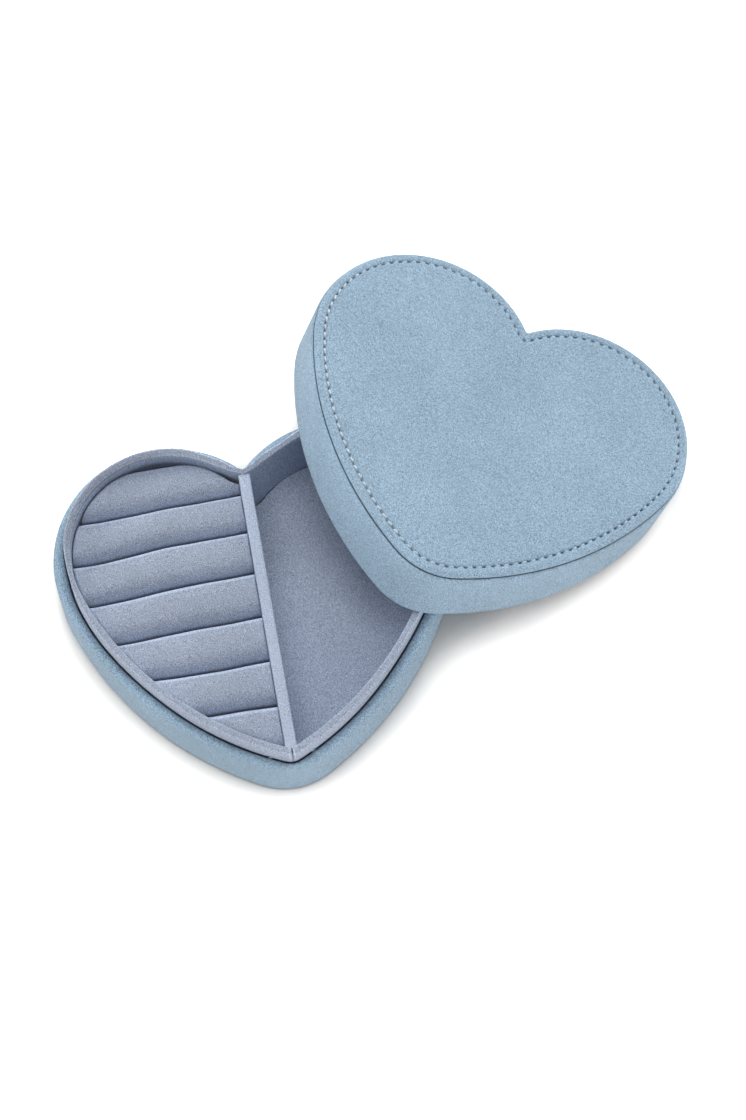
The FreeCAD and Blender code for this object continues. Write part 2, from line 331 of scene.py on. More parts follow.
def round_corner(before, corner, after, radius, steps=6):
    """Points of an arc of that radius in the corner of a profile."""
    corner = Vector(corner)
    first = (Vector(before) - corner).normalized()
    last = (Vector(after) - corner).normalized()
    half = first.angle(last) / 2
    middle = corner + (first + last).normalized() * radius / math.sin(half)
    start = corner + first * radius / math.tan(half) - middle
    end = corner + last * radius / math.tan(half) - middle
    turn = start.angle_signed(end)
    arc = [middle + Matrix.Rotation(-turn * step / steps, 2) @ start for step in range(steps + 1)]
    return [tuple(point) for point in arc]


def round_profile(corners):
    """Profile of (inset, height, rounding) corners as (inset, height) points, with the corners rounded."""
    points = []
    for number, (inset, height, rounding) in enumerate(corners):
        if rounding:
            before, after = corners[number - 1][:2], corners[number + 1][:2]
            points += round_corner(before, (inset, height), after, rounding)
        else:
            points.append((inset, height))
    return points


def deselect():
    bpy.ops.object.select_all(action="DESELECT")


def pick(piece):
    deselect()
    piece.select_set(True)
    bpy.context.view_layer.objects.active = piece


def added(name):
    """The object that was just added, with its name."""
    piece = bpy.context.object
    piece.name = piece.data.name = name
    return piece


def edit(piece):
    pick(piece)
    bpy.ops.object.mode_set(mode="EDIT")
    bpy.ops.mesh.select_all(action="SELECT")


def leave_edit():
    bpy.ops.object.mode_set(mode="OBJECT")


def sweep(name, count, outline, profile, relief=None):
    """Carry a profile of (inset, height) points round the heart, one extruded loop for each point.
    relief gives what each point rises, and its tone, from -1 deep in painted shade to 1 as a painted
    highlight."""
    deselect()
    bpy.ops.mesh.primitive_circle_add(vertices=count, radius=sizes().lobe_radius)
    piece = added(name)
    edit(piece)
    mesh = bmesh.from_edit_mesh(piece.data)
    mesh.verts.layers.float.new("tone")
    station = mesh.verts.layers.int.new("station")
    for vert in mesh.verts:
        vert[station] = vert.index
    for number, (inset, height) in enumerate(profile):
        if number:
            bpy.ops.mesh.extrude_edges_move()
        mesh = bmesh.from_edit_mesh(piece.data)
        station = mesh.verts.layers.int["station"]
        tone = mesh.verts.layers.float["tone"]
        points = outline(inset, height)
        for vert in mesh.verts:
            if vert.select:
                x, y = points[vert[station]]
                rise, shade = relief(vert[station], inset, height) if relief else (0.0, 0.0)
                vert.co = (x, y, height + rise)
                vert[tone] = shade
        bmesh.update_edit_mesh(piece.data)
    return piece


def select_open_edges():
    bpy.ops.mesh.select_all(action="DESELECT")
    bpy.ops.mesh.select_non_manifold(extend=False, use_wire=False, use_multi_face=False,
                                     use_non_contiguous=False, use_verts=False)


def face_outwards():
    bpy.ops.mesh.select_all(action="SELECT")
    bpy.ops.mesh.normals_make_consistent(inside=False)


def cap_loop():
    """Close the selected loop with a flat, triangulated face."""
    bpy.ops.mesh.edge_face_add()
    bpy.ops.mesh.quads_convert_to_tris(quad_method="BEAUTY", ngon_method="BEAUTY")


def cap_both_ends():
    """Close the loop that was extruded last, then the first one, and turn the faces outwards."""
    cap_loop()
    select_open_edges()
    cap_loop()
    face_outwards()


def thicken(piece, thickness):
    """Give a cloth its thickness, on the side away from its face."""
    face_outwards()
    leave_edit()
    solidify = piece.modifiers.new("solidify", "SOLIDIFY")
    solidify.thickness = thickness
    solidify.offset = -1
    solidify.use_even_offset = True
    bpy.ops.object.modifier_apply(modifier=solidify.name)


def settle(piece, body, material, nodes, place=None, angle=40):
    """Last touches of a piece: its place, shading, material and what it stands for."""
    if piece.mode == "EDIT":
        leave_edit()
    pick(piece)
    if place is not None:
        piece.data.transform(place)
    if piece.data.attributes.get("station"):
        piece.data.attributes.remove(piece.data.attributes["station"])
    bpy.ops.object.shade_smooth_by_angle(angle=math.radians(angle))
    piece.data.materials.clear()
    piece.data.materials.append(material)
    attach(piece, body)
    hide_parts(*nodes)


# Faces of a board whose normal points this much against up are its underside.
DOWNWARDS = -0.99


def board_place(node):
    """Where a flat heart-shaped board lies: the middle of its underside, Y away from the tip and Z up."""
    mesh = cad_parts[node].data
    mesh.calc_loop_triangles()
    corners = np.array([[mesh.vertices[v].co for v in t.vertices] for t in mesh.loop_triangles], float)
    normals = np.array([t.normal for t in mesh.loop_triangles], float)
    areas = np.array([t.area for t in mesh.loop_triangles], float)
    up = np.linalg.eigh(np.einsum("t,ti,tj->ij", areas, normals, normals))[1][:, 2]
    up = up * np.sign(up[2])
    under = normals @ up < DOWNWARDS
    corners, areas = corners[under], areas[under]
    middle = (corners.mean(axis=1) * areas[:, None]).sum(axis=0) / areas.sum()
    arms = corners - middle
    both = arms.sum(axis=1)
    spread = np.einsum("t,tij,tik->jk", areas, arms, arms) + np.einsum("t,tj,tk->jk", areas, both, both)
    across = np.linalg.eigh(spread)[1].T[1:]
    leans = [float((areas * (arms @ axis).mean(axis=1) ** 3).sum()) for axis in across]
    longest = int(np.argmax(np.abs(leans)))
    y_axis = Vector(-across[longest] * np.sign(leans[longest]))
    z_axis = Vector(up)
    place = Matrix((y_axis.cross(z_axis), y_axis, z_axis)).transposed().to_4x4()
    place.translation = Vector(middle)
    return place


def lid_place():
    """Turns a lid that stands level on its lower edge, over the origin, into the lid as it leans."""
    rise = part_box("base_board")[0].z - lid_sizes().ceiling
    leaning = board_place("lid_top_board") @ board_place("base_board").inverted()
    return leaning @ Matrix.Translation((0, 0, rise))


def set_input(tree, socket, value):
    """Set a node's input to a value, or link it to another node's output."""
    if isinstance(value, bpy.types.NodeSocket):
        tree.links.new(value, socket)
    else:
        socket.default_value = value


def add_node(tree, kind, *first_inputs, **named_inputs):
    """A shader node with its inputs set or linked: the first ones in their order, others by name."""
    made = tree.nodes.new(kind)
    for socket, value in zip(made.inputs, first_inputs):
        set_input(tree, socket, value)
    for name, value in named_inputs.items():
        set_input(tree, made.inputs[name.replace("_", " ")], value)
    return made


def calculate(tree, operation, first, second):
    made = add_node(tree, "ShaderNodeMath", first, second)
    made.operation = operation
    return made.outputs[0]


def multiply_colours(tree, first, second):
    made = tree.nodes.new("ShaderNodeMix")
    made.data_type = "RGBA"
    made.blend_type = "MULTIPLY"
    for number, value in ((0, 1.0), (6, first), (7, second)):
        set_input(tree, made.inputs[number], value)
    return made.outputs[2]


def noise(tree, place, scale, detail=2.0, roughness=0.5):
    made = add_node(tree, "ShaderNodeTexNoise", Vector=place, Scale=scale, Detail=detail, Roughness=roughness)
    return made.outputs["Fac"]


def ramp(tree, value, low, high, dark, light):
    """Spread of a value between two levels, as a colour from dark to light."""
    made = add_node(tree, "ShaderNodeValToRGB", Fac=value)
    for element, position, shade in zip(made.color_ramp.elements, (low, high), (dark, light)):
        element.position = position
        element.color = shade
    return made.outputs["Color"]


def tone_of(tree):
    """The tone that the points of a cloth or thread carry, which paints shade and highlights on them."""
    made = tree.nodes.new("ShaderNodeAttribute")
    made.attribute_name = "tone"
    return made.outputs["Fac"]


def grey(value):
    return (value, value, value, 1.0)


def shade_of(base, factor):
    return (*(min(1.0, channel * factor) for channel in base), 1.0)


def start_material(name):
    material = bpy.data.materials.get(name) or bpy.data.materials.new(name)
    material.use_nodes = True
    tree = material.node_tree
    tree.nodes.clear()
    shader = tree.nodes.new("ShaderNodeBsdfPrincipled")
    output = tree.nodes.new("ShaderNodeOutputMaterial")
    tree.links.new(shader.outputs["BSDF"], output.inputs["Surface"])
    place = tree.nodes.new("ShaderNodeTexCoord").outputs["Object"]
    return material, tree, shader, place


def surface(tree, shader, body, grain, strength, depth, roughness):
    """Give a material its colour, the bumps of its grain and its roughness."""
    tree.links.new(body, shader.inputs["Base Color"])
    raised = add_node(tree, "ShaderNodeBump", Height=grain, Strength=strength, Distance=depth)
    tree.links.new(raised.outputs["Normal"], shader.inputs["Normal"])
    shader.inputs["Roughness"].default_value = roughness


# How the nap was brushed, how much coarser and fainter its tufts are than its grains, and how cloudy it is.
BRUSH_TURN = math.radians(-50)
BRUSH_STRETCH = (0.65, 1.25, 0.65)
TUFT_GRAIN = 0.4
TUFT_CONTRAST = 0.07
CLOUD = 0.05
PATCH_GRAIN = 45.0
SWEEP_GRAIN = 15.0


def napped_cloth(name, base, grain, contrast, painted_highlight, shade_tint, sheen_tint):
    """Short-napped cloth: fine grains, drawn out the way it was brushed, over cloudy patches where the nap
    lies one way or the other. Its tone paints shade dark with a tint, and paints highlights paler by a
    factor."""
    material, tree, shader, place = start_material(name)
    brushed = add_node(tree, "ShaderNodeVectorRotate", Vector=place, Angle=BRUSH_TURN)
    brushed.rotation_type = "Z_AXIS"
    nap = add_node(tree, "ShaderNodeVectorMath", brushed.outputs[0], BRUSH_STRETCH)
    nap.operation = "MULTIPLY"
    fine = noise(tree, nap.outputs[0], grain, roughness=0.6)
    tufts = noise(tree, nap.outputs[0], grain * TUFT_GRAIN)
    patches = noise(tree, place, PATCH_GRAIN, detail=4.0, roughness=0.55)
    sweeps = noise(tree, place, SWEEP_GRAIN)
    faint = contrast * TUFT_CONTRAST
    tone = tone_of(tree)
    shade_share = calculate(tree, "MULTIPLY", tone, -1.0)
    layers = (
        ramp(tree, fine, 0.34, 0.66, grey(1 - contrast), grey(1 + contrast)),
        ramp(tree, tufts, 0.30, 0.70, grey(1 - faint), grey(1 + faint)),
        ramp(tree, sweeps, 0.35, 0.65, grey(1 - CLOUD / 2), grey(1 + CLOUD / 2)),
        # The tone's painted shade, with its tint, and its painted highlight.
        ramp(tree, shade_share, 0.0, 1.0, grey(1.0), (*shade_tint, 1.0)),
        ramp(tree, tone, 0.0, 1.0, grey(1.0), grey(painted_highlight)),
    )
    body = ramp(tree, patches, 0.30, 0.70, shade_of(base, 1 - CLOUD), shade_of(base, 1 + CLOUD))
    for layer in layers:
        body = multiply_colours(tree, body, layer)
    surface(tree, shader, body, fine, strength=0.5, depth=0.2 * MM, roughness=0.92)
    shader.inputs["Specular IOR Level"].default_value = 0.12
    shader.inputs["Sheen Weight"].default_value = 0.2
    shader.inputs["Sheen Roughness"].default_value = 0.4
    shader.inputs["Sheen Tint"].default_value = (*sheen_tint, 1.0)
    return material


def suede_finish():
    return napped_cloth("sky_suede", finishes().suede, grain=4600.0, contrast=0.7, painted_highlight=1.22,
                        shade_tint=(0.05, 0.07, 0.09), sheen_tint=(0.82, 0.80, 0.78))


def lining_finish(name="blue_lining", contrast=0.66):
    return napped_cloth(name, finishes().lining, grain=4600.0, contrast=contrast, painted_highlight=1.8,
                        shade_tint=(0.10, 0.07, 0.08), sheen_tint=(0.70, 0.76, 0.88))


def underside_finish():
    return napped_cloth("underside_felt", finishes().underside, grain=1500.0, contrast=0.6, painted_highlight=1.2,
                        shade_tint=(0.07, 0.07, 0.07), sheen_tint=(0.6, 0.7, 0.8))


def thread_finish():
    """Twisted thread, its strands wound slantwise across each stitch, with painted shade, bluer, where it is
    drawn in.
    """
    material, tree, shader, place = start_material("pale_thread")
    base = finishes().thread
    twist = add_node(tree, "ShaderNodeTexWave", Vector=place, Scale=1300.0, Distortion=1.5, Detail=1.0)
    twist.bands_direction = "DIAGONAL"
    strands = twist.outputs["Fac"]
    body = ramp(tree, strands, 0.2, 0.8, shade_of(base, 0.86), shade_of(base, 1.06))
    # Painted shade, bluer and darker, on the stretches of thread that are drawn in.
    drawn_in_shading = ramp(tree, tone_of(tree), 0.0, 1.0, (0.70, 0.82, 0.92, 1.0), grey(1.0))
    body = multiply_colours(tree, body, drawn_in_shading)
    surface(tree, shader, body, strands, strength=0.4, depth=0.1 * MM, roughness=0.6)
    return material


def plain_core(name, base, grain, speckle, roughness):
    """Board or foam that sits behind the cloth: flecks or pores over an even colour."""
    material, tree, shader, place = start_material(name)
    flecks = noise(tree, place, grain, detail=4.0, roughness=0.7)
    body = ramp(tree, flecks, 0.3, 0.7, shade_of(base, 1 - speckle), shade_of(base, 1 + speckle))
    surface(tree, shader, body, flecks, strength=0.3, depth=0.2 * MM, roughness=roughness)
    return material


def board_finish():
    return plain_core("grey_board", finishes().board, grain=700.0, speckle=0.15, roughness=0.9)


def foam_finish():
    return plain_core("white_foam", finishes().foam, grain=1400.0, speckle=0.08, roughness=0.95)


# Tone in a slot or under an edge that hardly any light reaches.
DEEP = 0.9

# Share of its thickness that each cloth is given.
BASE_CLOTH = 0.6
COLLAR_CLOTH = 0.9
LID_CLOTH = 0.9

# The base wall's ledge: its painted highlight, and its painted shade towards the slot and on down into it.
LEDGE_HIGHLIGHT = (0.25, 0.8, 0.7)
LEDGE_SHADE = 0.42
LEDGE_SHADE_POWER = 2.2
SLOT_FADE = 1.4 * MM


class HEARTBOX_OT_base_suede(bpy.types.Operator):
    """Suede over the base wall, round-edged at the top and tucked into the slot beside the collar"""
    bl_idname = "heartbox.base_suede"
    bl_label = "Base suede"

    def execute(self, context):
        heart, base = sizes(), base_sizes()
        slot = heart.collar_inset - heart.wall_slot
        stations = heart_stations()
        edge = wall_outline(stations, slot, WALL_TOP / 2, WALL_TOP)
        drifts = rim_drifts(len(stations))

        def outline(inset, height):
            share = min(1.0, inset / slot) ** 2 if height > WALL_TOP / 2 else 0.0
            return strayed(lambda drawn: edge(drawn, height), inset, drifts, share)

        # Painted shade down the slot and across the ledge towards it, and a painted highlight on the
        # rounding.
        def edge_tone(station, inset, height):
            if inset > slot - base.slot_round / 2 and height > WALL_TOP / 2:
                return 0.0, -min(DEEP, LEDGE_SHADE + (WALL_TOP - height) / SLOT_FADE)
            if height < WALL_TOP - base.wall_round:
                return 0.0, 0.0
            shade = LEDGE_SHADE * (inset / slot) ** LEDGE_SHADE_POWER
            return 0.0, line_mark(LEDGE_HIGHLIGHT, inset) - shade

        profile = round_profile([
            (base.turn_in, SHEET_TOP, 0),
            (0, SHEET_TOP, base.foot_round),
            (0, WALL_TOP, base.wall_round),
            (slot, WALL_TOP, base.slot_round),
            (slot, WALL_TOP - base.tuck, 0),
        ])
        piece = sweep("base_suede", len(stations), outline, profile, edge_tone)
        thicken(piece, heart.suede * BASE_CLOTH)
        settle(piece, "base", suede_finish(), ["base_wall_cover"])
        return {"FINISHED"}


# How far in from its edge a closed piece's mesh starts, where the felt's ends, and the felt's roundings.
LAP = 1 * MM
FELT_LAP = 20 * MM
FELT_UPPER_ROUND = 0.15 * MM
FELT_LOWER_ROUND = 0.25 * MM


class HEARTBOX_OT_underside(bpy.types.Operator):
    """Felt sheet glued under the base"""
    bl_idname = "heartbox.underside"
    bl_label = "Underside sheet"

    def execute(self, context):
        inset = LOBE_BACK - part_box("base_underside_sheet")[1].y
        stations = heart_stations()
        profile = round_profile([
            (inset + LAP, SHEET_TOP, 0),
            (inset, SHEET_TOP, FELT_UPPER_ROUND),
            (inset, 0, FELT_LOWER_ROUND),
            (inset + FELT_LAP, 0, 0),
        ])
        piece = sweep("underside_felt", len(stations), parallel_to(outer_arcs, stations), profile)
        cap_both_ends()
        settle(piece, "base", underside_finish(), ["base_underside_sheet"])
        return {"FINISHED"}


# The collar: how much less its inner face strays, and the mark of its pinch in the cleft.
INNER_STEADINESS = 0.8
PINCH = (1.0, 0.0, 0.011)

# Its rim: the fold inside its outer edge, painted shade on its top, painted highlights on its outer face and
# edges, the outer edge more so behind the lobes, and more painted shade, deeper inwards, on the left lobe.
RIM_FOLD = 0.7 * MM
RIM_FOLD_ROUND = 0.2 * MM
RIM_BAND = 1.5 * MM
RIM_SHADE = 0.12
OUTER_FACE_HIGHLIGHT = 0.05
OUTER_HIGHLIGHT = 0.35
LOBE_HIGHLIGHT = ((0.65, 0.05, 0.06), (0.65, 0.95, 0.06))
OUTER_EDGE = (1.0, 0.2, 0.3)
INNER_EDGE = (0.4, -0.3, 0.2)
SHADED_RIM = (1.0, 0.86, 0.09)
SHADED_RIM_EVEN = 0.08
SHADED_RIM_INWARDS = 0.5

# The seam at the collar's tip: its notch, with painted shade in it and on the outer face below it, and the
# mark of the pale frayed fibres beside it.
NOTCH_WIDTH = 0.4 * MM
NOTCH_DEPTH = 0.6 * MM
NOTCH_SHADE = 0.7
NOTCH_FACE_SHADE = 0.4
FRAYED = (0.5, 0.8, 0.3)

# The collar's inner face: its painted highlight, more so by the cleft, and its painted shade beside the
# rolls.
INNER_HIGHLIGHT = 0.12
CLEFT_HIGHLIGHT = (0.14, 0.0, 0.08)
ROLL_SHADE_START = ROLL_TOP + 0.5 * MM
ROLL_SHADE_DEPTH = 3 * MM


class HEARTBOX_OT_collar(bpy.types.Operator):
    """Lining over the collar that the lid slides on, its ends meeting in a seam at the tip"""
    bl_idname = "heartbox.collar"
    bl_label = "Collar lining"

    def execute(self, context):
        heart, base = sizes(), base_sizes()
        outside = heart.collar_inset
        inside = outside + heart.collar_width
        stations = heart_stations(density=2)
        count = len(stations)
        drifts = rim_drifts(count)
        spots = [Vector(spot) for spot in outline_points(collar_arcs(outside), stations)]
        tip = spots[count // 2]

        def inwards(inset):
            return (inset - outside) / heart.collar_width

        def outline(inset, height):
            pinch = base.cleft_pinch * inwards(inset) * max(0.0, (height - FLOOR_TOP) / (RIM - FLOOR_TOP))
            kept = 1 - INNER_STEADINESS * inwards(inset)
            moves = [drift * kept - pinch * round_mark(PINCH, n / count) for n, drift in enumerate(drifts)]
            return strayed(lambda drawn: outline_points(collar_arcs(drawn), stations), inset, moves, 1)

        def inner_face(place, height):
            """Tone of the inner face: painted highlight, more by the cleft, and on the left painted shade by
            the rolls.
            """
            pale = INNER_HIGHLIGHT + round_mark(CLEFT_HIGHLIGHT, place)
            if place < 0.5:
                return pale * (height - FLOOR_TOP) / (RIM - FLOOR_TOP)
            return pale - DEEP * clamp((ROLL_SHADE_START - height) / ROLL_SHADE_DEPTH)

        # Painted shade in the slot, the notch and on the rim; painted highlights on its edges and faces.
        def seam(station, inset, height):
            place = station / count
            if inset > inside - NEAR and height < RIM - base.rim_slope - base.rim_inner_round / 2:
                return 0.0, inner_face(place, height)
            # Painted shade down the slot.
            if height < WALL_TOP - 2 * NEAR:
                return 0.0, -DEEP
            off_seam = (spots[station] - tip).length
            notch = hump(off_seam, NOTCH_WIDTH)
            if height < RIM - RIM_BAND:
                return 0.0, OUTER_FACE_HIGHLIGHT - NOTCH_FACE_SHADE * notch
            outer_highlight = OUTER_HIGHLIGHT + max(round_mark(mark, place) for mark in LOBE_HIGHLIGHT)
            painted_highlight = outer_highlight * line_mark(OUTER_EDGE, inset - outside) + line_mark(INNER_EDGE, inset - inside)
            inward_shade = SHADED_RIM_EVEN + SHADED_RIM_INWARDS * max(0.0, inwards(inset)) ** 2
            shade = RIM_SHADE + NOTCH_SHADE * notch + round_mark(SHADED_RIM, place) * inward_shade
            return -NOTCH_DEPTH * notch, painted_highlight + line_mark(FRAYED, off_seam) - shade

        profile = round_profile([
            (outside, BOARD_TOP, 0),
            (outside, WALL_TOP - 3 * NEAR, 0),
            (outside, WALL_TOP + NEAR, 0),
            (outside, RIM, base.rim_round),
            (outside + RIM_FOLD, RIM - NEAR, RIM_FOLD_ROUND),
            (inside, RIM - base.rim_slope, base.rim_inner_round),
            (inside, ROLL_SHADE_START, 0),
            (inside, ROLL_SHADE_START - ROLL_SHADE_DEPTH, 0),
            (inside, BOARD_TOP, 0),
        ])
        piece = sweep("collar_cloth", count, outline, profile, seam)
        thicken(piece, heart.lining * COLLAR_CLOTH)
        settle(piece, "base", lining_finish(), ["collar_lining", "collar_core"])
        return {"FINISHED"}


# The divider's painted highlight on its top, and the share of the edges' rounding that it takes in.
DIVIDER_HIGHLIGHT = 0.4
DIVIDER_SHOULDER = 0.8


class HEARTBOX_OT_divider(bpy.types.Operator):
    """Lining folded over the divider board and pressed smooth"""
    bl_idname = "heartbox.divider"
    bl_label = "Divider lining"

    def execute(self, context):
        base = base_sizes()
        low, high = DIVIDER_LOW, DIVIDER_HIGH + Vector((0, base.divider_reach, 0))
        deselect()
        bpy.ops.mesh.primitive_cube_add(size=1, location=(low + high) / 2)
        piece = added("divider_cloth")
        piece.scale = high - low
        bpy.ops.object.transform_apply(location=True, rotation=True, scale=True)
        edit(piece)
        bpy.ops.mesh.select_mode(type="EDGE")
        bpy.ops.mesh.select_all(action="DESELECT")
        mesh = bmesh.from_edit_mesh(piece.data)
        for edge in mesh.edges:
            first, last = (vert.co for vert in edge.verts)
            lengthwise = abs(first.y - last.y) > (high.y - low.y) / 2
            edge.select_set(lengthwise and min(first.z, last.z) > high.z - NEAR)
        bmesh.update_edit_mesh(piece.data)
        bpy.ops.mesh.bevel(offset=base.divider_round, segments=5, affect="EDGES")
        bpy.ops.mesh.select_mode(type="VERT")
        mesh = bmesh.from_edit_mesh(piece.data)
        tone = mesh.verts.layers.float.new("tone")
        for vert in mesh.verts:
            on_top = vert.co.z > high.z - base.divider_round * DIVIDER_SHOULDER
            vert[tone] = DIVIDER_HIGHLIGHT if on_top else 0.0
        bmesh.update_edit_mesh(piece.data)
        settle(piece, "base", lining_finish("pressed_lining", contrast=0.5), ["divider_lining"])
        return {"FINISHED"}


# Points of an outline that others are measured along.
FINE_STATIONS = 4000


def fine_outline(inset):
    """Many points along the collar's outline drawn in by inset."""
    arcs = collar_arcs(inset)
    return np.array(outline_points(arcs, even_stations(arcs, FINE_STATIONS)))


def side_outline(inset, edge, curved=300, straight=120):
    """Closed line round the space on the right of the divider, drawn in by inset and straight along edge."""
    right = fine_outline(inset)
    right = right[right[:, 0] >= edge]
    steps = np.concatenate([[0], np.cumsum(np.linalg.norm(np.diff(right, axis=0), axis=1))])
    along = np.linspace(0, steps[-1], curved)
    round_part = np.column_stack([np.interp(along, steps, right[:, 0]), np.interp(along, steps, right[:, 1])])
    back = np.linspace(round_part[-1], round_part[0], straight + 2)[1:-1]
    back[:, 0] = edge
    round_part[0, 0] = round_part[-1, 0] = edge
    return [tuple(point) for point in np.concatenate([round_part, back])]


# The compartment floor: roundings of its edge, how wide the dark line along it is, and its inner loops.
FLOOR_LOWER_ROUND = 0.1 * MM
FLOOR_UPPER_ROUND = 0.4 * MM
FLOOR_SHADE_WIDTH = 0.3 * MM
FLOOR_LOOPS = (3 * MM, 8 * MM)


class HEARTBOX_OT_compartment_floor(bpy.types.Operator):
    """Lining laid over the pad at the bottom of the open compartment, drawn down along its edge"""
    bl_idname = "heartbox.compartment_floor"
    bl_label = "Compartment floor"

    def execute(self, context):
        heart = sizes()
        low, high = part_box("compartment_floor_lining")
        inset = heart.collar_inset + heart.collar_width + heart.seat_gap

        def outline(drawn, height):
            return side_outline(inset + drawn, DIVIDER_HIGH.x + heart.seat_gap + drawn)

        def edge_shadow(station, drawn, height):
            return 0.0, -1.0 if drawn < FLOOR_SHADE_WIDTH else 0.0

        profile = round_profile([
            (LAP, low.z, 0),
            (0, low.z, FLOOR_LOWER_ROUND),
            (0, high.z, FLOOR_UPPER_ROUND),
            (LAP, high.z, 0),
        ])
        profile += [(drawn, high.z) for drawn in FLOOR_LOOPS]
        piece = sweep("compartment_cloth", len(outline(0.0, 0.0)), outline, profile, edge_shadow)
        cap_both_ends()
        settle(piece, "base", lining_finish(), ["compartment_floor_lining"])
        return {"FINISHED"}


# The grooves between the rolls, from the back: how each bows, lies aside and leans, in millimetres, and the
# reach from the divider that this is spread over.
GROOVE_BOWS = (0.6, 0.3, 0.5, 0.7, 0.6, -0.4)
GROOVE_SHIFTS = (0.2, -0.5, -0.8, -0.4, 1.7, 2.3)
GROOVE_LEANS = (1.3, 2.4, 2.4, 1.5, -0.5, 0.0)
GROOVE_REACH = 60 * MM

# Where along the grooves they lean, and their ripples: size in millimetres, waves, and shift between grooves.
LEAN_RISE = (1.0, -0.97, 0.57)
RIPPLES = ((0.06, 11, 2.1), (0.04, 23, 1.3))


def groove_sway(number, x):
    """How far a groove strays from its straight line at x."""
    if not 0 <= number < ROLL_COUNT - 1:
        return 0.0
    bow, shift, lean = (values[number % len(values)] for values in (GROOVE_BOWS, GROOVE_SHIFTS, GROOVE_LEANS))
    along = x / GROOVE_REACH
    climb = rising_mark(LEAN_RISE, along)
    ripple = sum(size * math.sin(waves * along + apart * number) for size, waves, apart in RIPPLES)
    curve = bow * (2 * along + 1) ** 2 - bow / 3
    return (curve + shift + lean * climb ** 2 * (3 - 2 * climb) + ripple) * MM


def roll_spans(inset, rows=1500):
    """Rows along Y of the space on the left of the divider, with its left and right ends along X."""
    edge = -DIVIDER_HIGH.x - base_sizes().roll_gap
    outline = fine_outline(inset)
    outline = outline[outline[:, 0] <= edge]
    margin = 1e-6
    levels = np.linspace(outline[:, 1].min() + margin, outline[:, 1].max() - margin, rows)
    lefts, rights = [], []
    above, below = outline[1:, 1], outline[:-1, 1]
    for level in levels:
        cut = np.nonzero((above - level) * (below - level) <= 0)[0]
        share = (level - below[cut]) / (above[cut] - below[cut])
        crossings = outline[cut, 0] + (outline[cut + 1, 0] - outline[cut, 0]) * share
        lefts.append(crossings.min())
        rights.append(crossings.max() if len(crossings) > 1 else edge)
    return levels, np.array(lefts), np.array(rights)


# A roll's mesh, the rounds that fit it between its swaying grooves, and its marks across: a painted
# highlight towards its back, painted shade at its front and darker painted shade in the groove.
ROLL_COLUMNS = 96
ROLL_ROWS = 44
SWAY_ROUNDS = 3
BACK_HIGHLIGHT = (0.8, 0.66, 0.14)
FRONT_SHADE = (0.225, 0.55, 0.45)
GROOVE_SHADE = (0.7, 0.94, 0.06)
DARKEST_ROLL = 0.95

# A roll's ends: their painted shade by the collar and by the divider, more where a roll gapes, the last
# roll's painted shade towards the collar, and how the ends turn down.
END_COLUMN = 0.001
COLLAR_END_SHADE = 0.7
DIVIDER_END_SHADE = 0.3
GAPING_END_SHADE = 0.6
GAPING_ROLLS = (1, 6)
LAST_ROLL_SHADE = 0.5
LAST_ROLL_REACH = 5 * MM
COLLAR_STEEPNESS = 1.5
DIVIDER_ROUND_SHARE = 0.3


